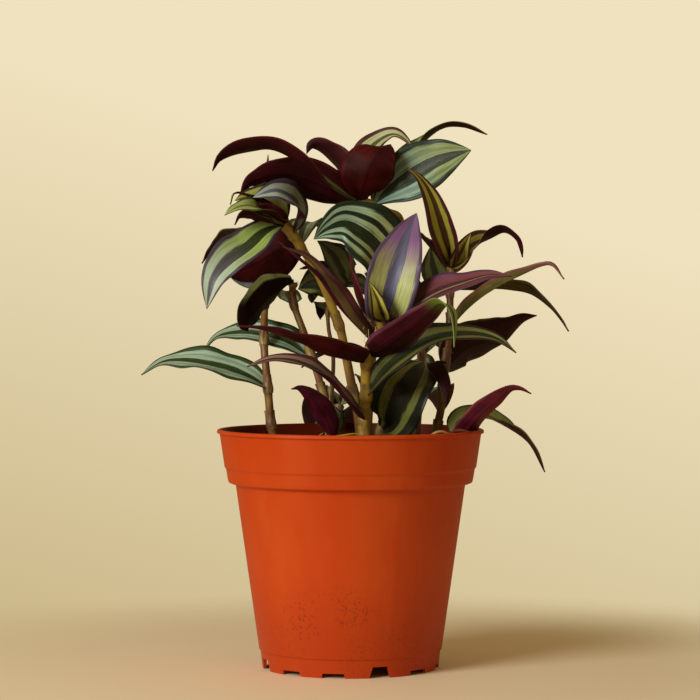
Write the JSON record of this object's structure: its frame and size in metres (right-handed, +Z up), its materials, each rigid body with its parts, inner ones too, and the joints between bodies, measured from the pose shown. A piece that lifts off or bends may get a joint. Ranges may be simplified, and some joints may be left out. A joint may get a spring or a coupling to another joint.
{
  "type": "potted tradescantia",
  "caption": "Striped trailing house plant with upright jointed stems and long pointed leaves, in a round tapered plastic nursery pot filled with soil.",
  "frame": {"origin": "on the surface it stands on, at the middle of the pot's foot", "axes": "+Z up along the pot's axis; the side in the picture faces -Y; +X to the right in the picture"},
  "size_m": [0.1929, 0.1535, 0.246],
  "materials": {
    "pot": "thin moulded terracotta-coloured plastic, satin, with a lighter worn lip",
    "soil": null,
    "leaf": null
  },
  "bodies": {
    "root": {"pot": "pot", "soil": "soil", "shoot_left": "leaf", "shoot_left_middle": "leaf", "shoot_left_high": "leaf", "shoot_thin": "leaf", "shoot_front": "leaf", "shoot_middle": "leaf", "shoot_top": "leaf", "shoot_right": "leaf", "shoot_right_low": "leaf", "shoot_base_left": "leaf", "shoot_back_middle": "leaf", "shoot_back_right": "leaf", "shoot_back_low": "leaf"}
  },
  "joints": []
}
